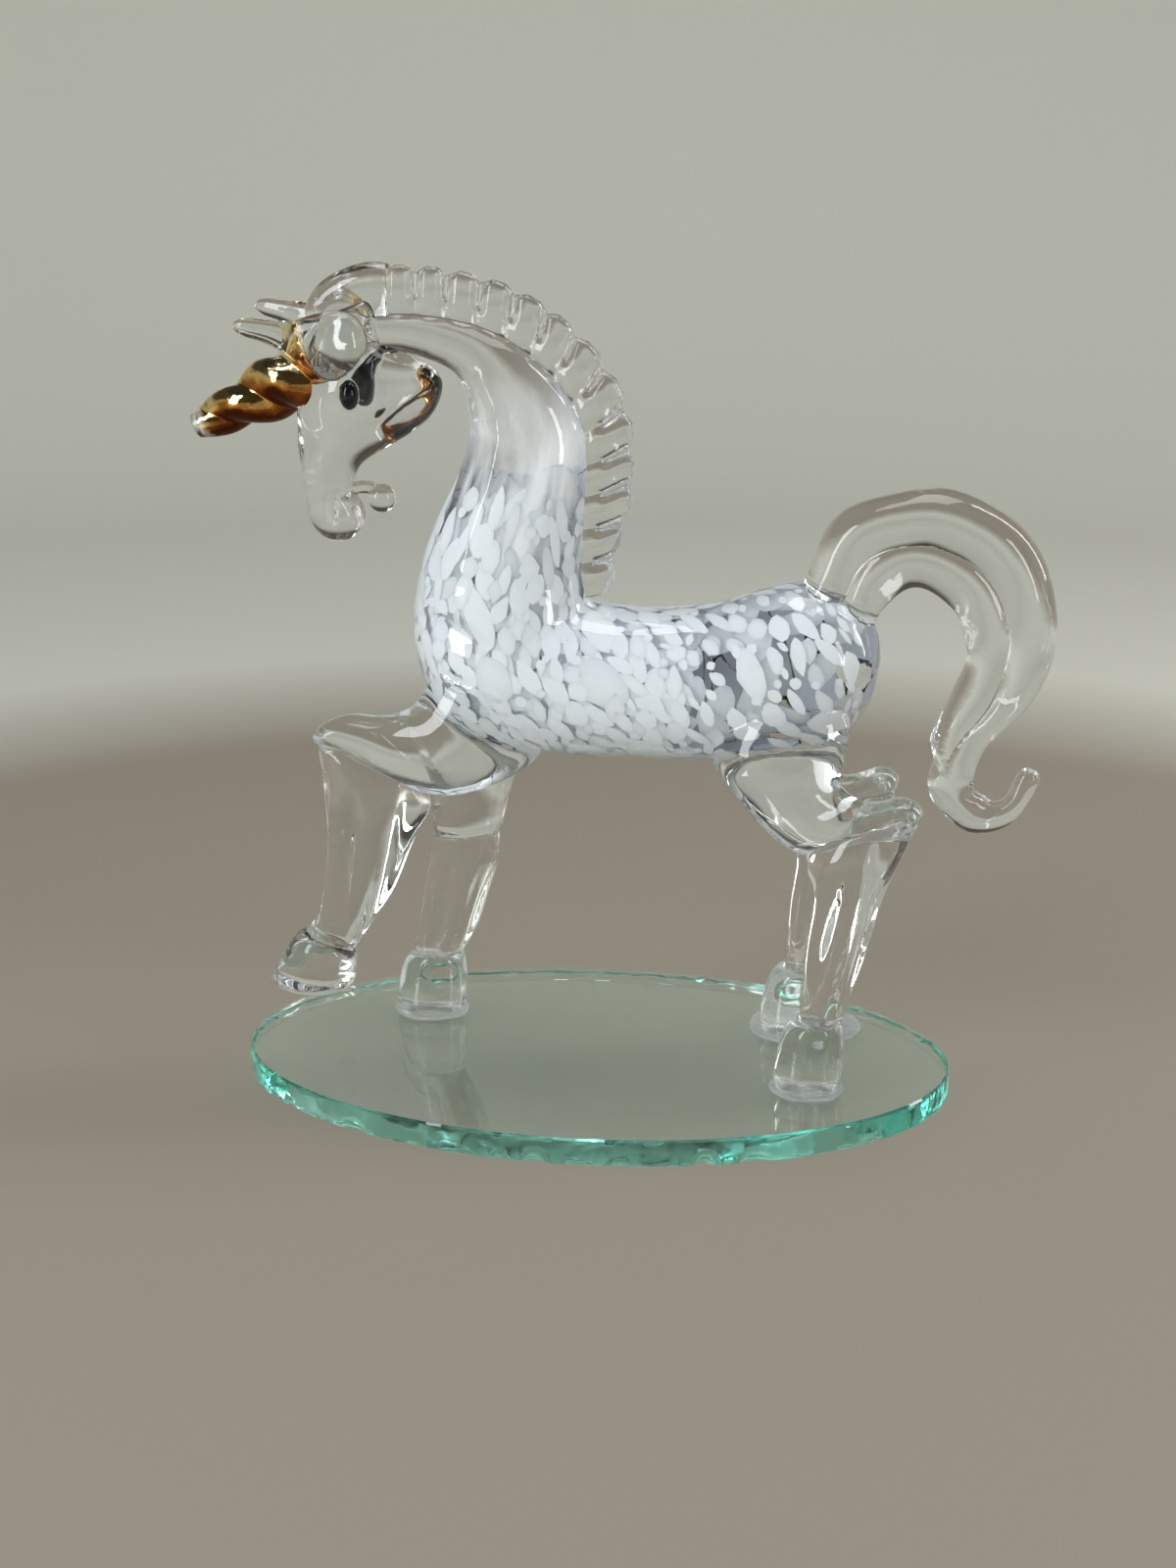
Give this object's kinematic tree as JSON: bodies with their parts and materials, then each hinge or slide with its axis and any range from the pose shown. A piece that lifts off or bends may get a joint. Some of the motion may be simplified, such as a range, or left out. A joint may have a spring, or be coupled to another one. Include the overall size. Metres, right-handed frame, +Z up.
{
  "type": "glass unicorn figurine",
  "caption": "Lampworked clear glass unicorn with white flecks in its body and neck and a gilt twisted horn, stepping with one foreleg raised on an oval glass plate.",
  "frame": {"origin": "middle of the oval plate's underside", "axes": "+X from head to tail along the plate, +Y towards the animal's right side, +Z up"},
  "size_m": [0.0932, 0.05, 0.0904],
  "materials": {
    "plate_glass": "float glass with a green edge",
    "clear_glass": "fire-polished clear glass",
    "frit_glass": "clear glass over white frit",
    "gold_lustre": "fired gold lustre on glass",
    "black_glass": "glossy black glass",
    "clear_glue": "clear cured glue"
  },
  "bodies": {
    "root": {"base_plate": "plate_glass", "glue_dabs": "clear_glue", "body": "frit_glass", "neck": "frit_glass", "head": "clear_glass", "forelock": "clear_glass", "mane": "clear_glass", "left_ear": "clear_glass", "right_ear": "clear_glass", "left_eye": "black_glass", "right_eye": "black_glass", "horn": "gold_lustre", "beard": "clear_glass", "tail": "clear_glass", "left_hind_upper_leg": "clear_glass", "left_hind_shank": "clear_glass", "left_hind_hoof": "clear_glass", "right_hind_upper_leg": "clear_glass", "right_hind_shank": "clear_glass", "right_hind_hoof": "clear_glass", "right_fore_upper_leg": "clear_glass", "right_fore_shank": "clear_glass", "right_fore_hoof": "clear_glass", "left_fore_upper_leg": "clear_glass", "left_fore_shank": "clear_glass", "left_fore_hoof": "clear_glass"}
  },
  "joints": []
}
